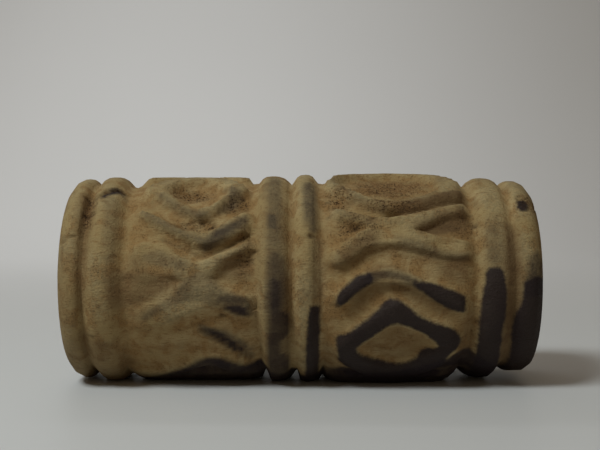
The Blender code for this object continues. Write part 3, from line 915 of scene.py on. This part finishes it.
def model_seal():
    """The seal: the plain roller with its points moved to their places, and its colour attributes."""
    seal = plain_roller()
    mesh = seal.data
    count = len(mesh.vertices)
    flat = np.empty(count * 3)
    mesh.vertices.foreach_get("co", flat)
    old = flat.reshape(-1, 3) / MM
    x = old[:, 0].copy()
    radius = np.hypot(old[:, 1], old[:, 2])
    angles = column_angles(np.degrees(np.arctan2(old[:, 2], -old[:, 1])))
    wall = radius > MEAN_RADIUS * 0.999
    bore = radius < BORE_RADIUS * 1.02
    rows = np.rint((x[wall] / LENGTH + 0.5) * ROWS).astype(int)
    x[wall] = row_places()[np.clip(rows, 0, ROWS)]
    radius[wall], colours = shape_wall(x[wall], turn_near(angles[wall] + FIGURES_TURNED, 0))
    radius[wall] -= end_rounding(x[wall], angles[wall])
    shape_ends(x, radius, angles, wall, ~wall & ~bore)
    shape_bore(x, radius, angles, bore)
    x += RIGHT_END_OUT * np.clip((x - OUT_FROM) / OUT_OVER, 0, 1)
    turn = np.radians(angles)
    height = settled(AXIS_HEIGHT + radius * np.sin(turn))
    new = np.stack([x, -radius * np.cos(turn), height], axis=1)
    mesh.vertices.foreach_set("co", (new * MM).ravel())
    elsewhere = {"relief": 0.75, "dark": -REACH}
    for name, wall_values in colours.items():
        values = np.full(count, elsewhere.get(name, 0.0), np.float32)
        values[wall] = wall_values
        attribute = mesh.attributes.new(name, "FLOAT", "POINT")
        attribute.data.foreach_set("value", values)
    mesh.update()
    bpy.ops.object.select_all(action="DESELECT")
    seal.select_set(True)
    bpy.context.view_layer.objects.active = seal
    bpy.ops.object.shade_smooth()
    return seal


class Wire:
    """A socket of a material, with arithmetic that adds the nodes it stands for."""

    def __init__(self, socket):
        self.socket = socket
        self.tree = socket.id_data

    def node(self, kind, settings, inputs, output=0):
        """Add a node, with its settings first and then the values or links of its sockets."""
        made = self.tree.nodes.new(kind)
        for name, value in settings.items():
            setattr(made, name, value)
        for name, value in inputs.items():
            if isinstance(value, Wire):
                self.tree.links.new(value.socket, made.inputs[name])
            else:
                made.inputs[name].default_value = value
        return Wire(made.outputs[output])

    def math(self, operation, *values):
        """A Math node on numbers and wires."""
        return self.node("ShaderNodeMath", {"operation": operation}, dict(enumerate(values)))

    def __add__(self, other):
        return self.math("ADD", self, other)

    __radd__ = __add__

    def __mul__(self, other):
        return self.math("MULTIPLY", self, other)

    def __sub__(self, other):
        return self.math("SUBTRACT", self, other)

    def __rsub__(self, other):
        return self.math("SUBTRACT", other, self)

    def clamped(self):
        """The value kept between 0 and 1."""
        return self.node("ShaderNodeMath", {"operation": "ADD", "use_clamp": True}, {0: self, 1: 0.0})

    def step(self, low, high):
        """Eases from 0 to 1 as the value goes from low to high."""
        settings = {"interpolation_type": "SMOOTHSTEP"}
        return self.node("ShaderNodeMapRange", settings, {"Value": self, "From Min": low, "From Max": high})

    def attribute(self, name):
        """A named value stored on the surface's points."""
        return self.node("ShaderNodeAttribute", {"attribute_name": name}, {}, "Fac")

    def noise(self, place, per_millimetre, detail, roughness=0.5, distortion=0.0):
        """Noise from 0 to 1 with so many lumps to a millimetre."""
        inputs = {
            "Vector": place,
            "Scale": per_millimetre * 1000.0,
            "Detail": detail,
            "Roughness": roughness,
            "Distortion": distortion,
        }
        return self.node("ShaderNodeTexNoise", {"noise_dimensions": "3D"}, inputs)

    def pore_field(self, per_millimetre):
        """Distance to the nearest of scattered points, so many to a millimetre."""
        inputs = {"Vector": self, "Scale": per_millimetre * 1000.0, "Randomness": 1.0}
        return self.node("ShaderNodeTexVoronoi", {"feature": "F1"}, inputs, "Distance")

    def mixed(self, share, first, second):
        """First colour where the share is 0, and second where it is 1."""
        inputs = {0: share, 6: first, 7: second}
        return self.node("ShaderNodeMix", {"data_type": "RGBA"}, inputs, 2)


def new_material(name):
    """Material with a Principled shader, its shader node and a wire to build on."""
    material = bpy.data.materials.new(name)
    material.use_nodes = True
    shader = material.node_tree.nodes["Principled BSDF"]
    place = material.node_tree.nodes.new("ShaderNodeTexCoord").outputs["Object"]
    return material, shader, Wire(place)


# Colours of the clay, its stains and its pigment, and of the shade painted onto it
BUFF = (0.292, 0.208, 0.090, 1)
SANDY = (0.350, 0.260, 0.124, 1)
ORANGE = (0.240, 0.136, 0.048, 1)
RUST = (0.165, 0.085, 0.029, 1)
BROWN = (0.112, 0.065, 0.028, 1)
UMBER = (0.050, 0.025, 0.010, 1)
GREY_GREEN = (0.190, 0.160, 0.086, 1)
GREY_VIOLET = (0.090, 0.065, 0.037, 1)
DULL_BROWN = (0.024, 0.0150, 0.0140, 1)
BLACK = (0.0165, 0.0095, 0.0105, 1)

# Colours of the paper
PAPER = (0.55, 0.550, 0.545, 1)
PALER_PAPER = (0.58, 0.580, 0.575, 1)


def fired_clay():
    """Buff fired clay: orange in hollows, greyish on tops, with worn dark pigment, pores and painted shade.
    """
    material, shader, place = new_material("fired clay with worn pigment")
    names = ("relief", "dark", "grey", "brown_stain_and_shade", "dull_coat_and_shade", "pitted", "pit_and_cut_shade")
    relief, dark, tint, stain_and_shade, dull_coat_and_shade, pitted, pit_and_cut_shade = (place.attribute(name) for name in names)
    cloud = place.noise(place, 0.11, 3.0, 0.55)
    patch = place.noise(place, 0.24, 3.0, 0.6, 0.3)
    blotch = place.noise(place, 0.42, 4.0, 0.6, 0.4)
    grain = place.noise(place, 2.4, 4.0, 0.65)
    grit = place.noise(place, 4.2, 2.0, 0.6)
    fine = place.noise(place, 7.0, 3.0, 0.6)
    along = place.node("ShaderNodeVectorMath", {"operation": "MULTIPLY"}, {0: place, 1: (0.22, 1.0, 1.0)})
    streak = place.noise(along, 3.6, 3.0, 0.6)
    specks = grit.step(0.57, 0.67)
    cells = (1 - place.pore_field(2.3).step(0.12, 0.36)) * grain.step(0.42, 0.56)
    pores = (cells * (0.10 + pitted) + specks * (pitted * 0.75 + blotch.step(0.44, 0.62) * 0.38)).clamped()
    hollow = (1 - relief.step(0.05, 0.75)) * blotch.step(0.25, 0.65)
    tops = relief.step(0.72, 1.0) * grain.step(0.30, 0.62) * cloud.step(0.30, 0.60)
    speckle = fine.step(0.60, 0.70) * grain.step(0.44, 0.60)
    worn_tint = tint * (0.75 + (blotch * 0.8 + grain * 0.5).step(0.35, 0.85) * 0.55)
    ragged = dark + (blotch - 0.5) * 0.55 + (grain - 0.5) * 0.45
    halo = ragged.step(-0.50, 0.15)
    black = ragged.step(-0.26, 0.30)
    layers = (
        (cloud.step(0.38, 0.64), SANDY),
        (blotch.step(0.45, 0.66) * 0.75, ORANGE),
        (patch.step(0.52, 0.70) * 0.35, BROWN),
        (streak.step(0.50, 0.66) * 0.45, ORANGE),
        (streak.step(0.58, 0.72) * 0.45, BROWN),
        (hollow * 0.65, ORANGE),
        (tops * 0.50, GREY_GREEN),
        # Brown stain, and painted shade in the hollows, the pockets, under the bands and low down
        (stain_and_shade * (0.55 + blotch * 0.6), BROWN),
        (pitted * (0.42 + grain.step(0.42, 0.60) * 0.50), RUST),
        (speckle * 0.55, BROWN),
        (worn_tint + halo * 0.35, GREY_VIOLET),
        # Dull dark pigment, with painted shade underneath and on some bands' lower sides
        (dull_coat_and_shade * (0.80 + blotch * 0.4), DULL_BROWN),
        (black * 0.94, BLACK),
        # Painted shade in the pits and narrow cuts, and small dark pores
        (pit_and_cut_shade * 0.75 + pores * 0.80, UMBER),
    )
    colour = BUFF
    for share, over in layers:
        colour = place.mixed(share, colour, over)
    roughness = 0.86 + (grain - 0.5) * 0.16 - black * 0.18
    surface = grain * 0.13 + fine * 0.055 + streak * 0.11 + grit * 0.08 - pores * 0.25
    bump_inputs = {"Strength": 1.0, "Distance": 0.001, "Height": surface}
    bump = place.node("ShaderNodeBump", {}, bump_inputs, "Normal")
    for wire, name in ((colour, "Base Color"), (roughness, "Roughness"), (bump, "Normal")):
        place.tree.links.new(wire.socket, shader.inputs[name])
    shader.inputs["Specular IOR Level"].default_value = 0.2
    return material


def sweep_finish():
    """Pale paper with a slight sheen."""
    material, shader, place = new_material("pale paper")
    mottle = place.noise(place, 0.004, 2.0, 0.5)
    colour = place.mixed(mottle, PAPER, PALER_PAPER)
    place.tree.links.new(colour.socket, shader.inputs["Base Color"])
    shader.inputs["Roughness"].default_value = 0.46
    shader.inputs["Specular IOR Level"].default_value = 0.20
    return material


def pale_sweep():
    """Floor that curves up into the wall behind the seal."""
    bpy.ops.object.select_all(action="DESELECT")
    bpy.ops.mesh.primitive_plane_add(size=1)
    sweep = bpy.context.object
    sweep.name = "pale_sweep"
    bpy.ops.object.mode_set(mode="EDIT")
    bpy.ops.transform.resize(value=(2.4, 1.5, 1))
    bpy.ops.transform.translate(value=(0, 0.05, 0))
    bpy.ops.mesh.select_mode(type="EDGE")
    bpy.ops.mesh.select_all(action="DESELECT")
    select_where(sweep.data, "EDGE", lambda edge: all(vert.co.y > 0.5 for vert in edge.verts))
    bpy.ops.mesh.extrude_region_move(TRANSFORM_OT_translate={"value": (0, 0, 1.2)})
    bpy.ops.mesh.select_all(action="DESELECT")
    select_where(
        sweep.data, "EDGE", lambda edge: all(vert.co.y > 0.5 and vert.co.z < 0.1 for vert in edge.verts)
    )
    bpy.ops.mesh.bevel(offset=0.45, segments=24)
    bpy.ops.object.mode_set(mode="OBJECT")
    bpy.ops.object.shade_smooth()
    sweep.data.materials.append(sweep_finish())


def soft_light(name, place, size, power, aim, colour):
    """Square area light of a given size, aimed at a point."""
    lamp = bpy.data.lights.new(name, "AREA")
    lamp.shape = "SQUARE"
    lamp.size = size
    lamp.energy = power
    lamp.color = colour
    light = bpy.data.objects.new(name, lamp)
    light.location = place
    light.rotation_euler = (Vector(aim) - Vector(place)).to_track_quat("-Z", "Y").to_euler()
    bpy.context.scene.collection.objects.link(light)


def camera():
    """The photograph's view: from the front, a little above the seal's axis."""
    distance = 168.0
    above = math.radians(4.5)
    pitch = math.radians(1.605)
    lens = bpy.data.cameras.new("camera")
    lens.sensor_width = 36.0
    lens.lens = 62.87
    lens.clip_start = 0.01
    lens.clip_end = 20.0
    eye = bpy.data.objects.new("camera", lens)
    eye.location = (
        0.125 * MM,
        -distance * math.cos(above) * MM,
        (AXIS_HEIGHT + distance * math.sin(above)) * MM,
    )
    eye.rotation_euler = (math.pi / 2 - pitch, 0, 0)
    bpy.context.scene.collection.objects.link(eye)
    bpy.context.scene.camera = eye


def studio():
    """Soft light from above, the left and the front, and a little from all round."""
    soft_light("desk lamp", (-0.178, -0.182, 0.330), 0.12, 1.16, (0, 0, 0.015), (0.90, 0.98, 1.0))
    soft_light("wall wash", (-0.12, 0.33, 0.40), 0.28, 1.32, (-0.08, 0.66, 0.03), (0.95, 0.98, 1.0))
    world = bpy.data.worlds.new("room")
    bpy.context.scene.world = world
    world.use_nodes = True
    background = world.node_tree.nodes["Background"]
    background.inputs["Color"].default_value = (1.0, 0.78, 0.52, 1)
    background.inputs["Strength"].default_value = 0.17
    bpy.context.scene.view_settings.view_transform = "Standard"


seal = model_seal()
seal.data.materials.clear()
seal.data.materials.append(fired_clay())
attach(seal, "root")
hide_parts("seal_body")
pale_sweep()
studio()
camera()
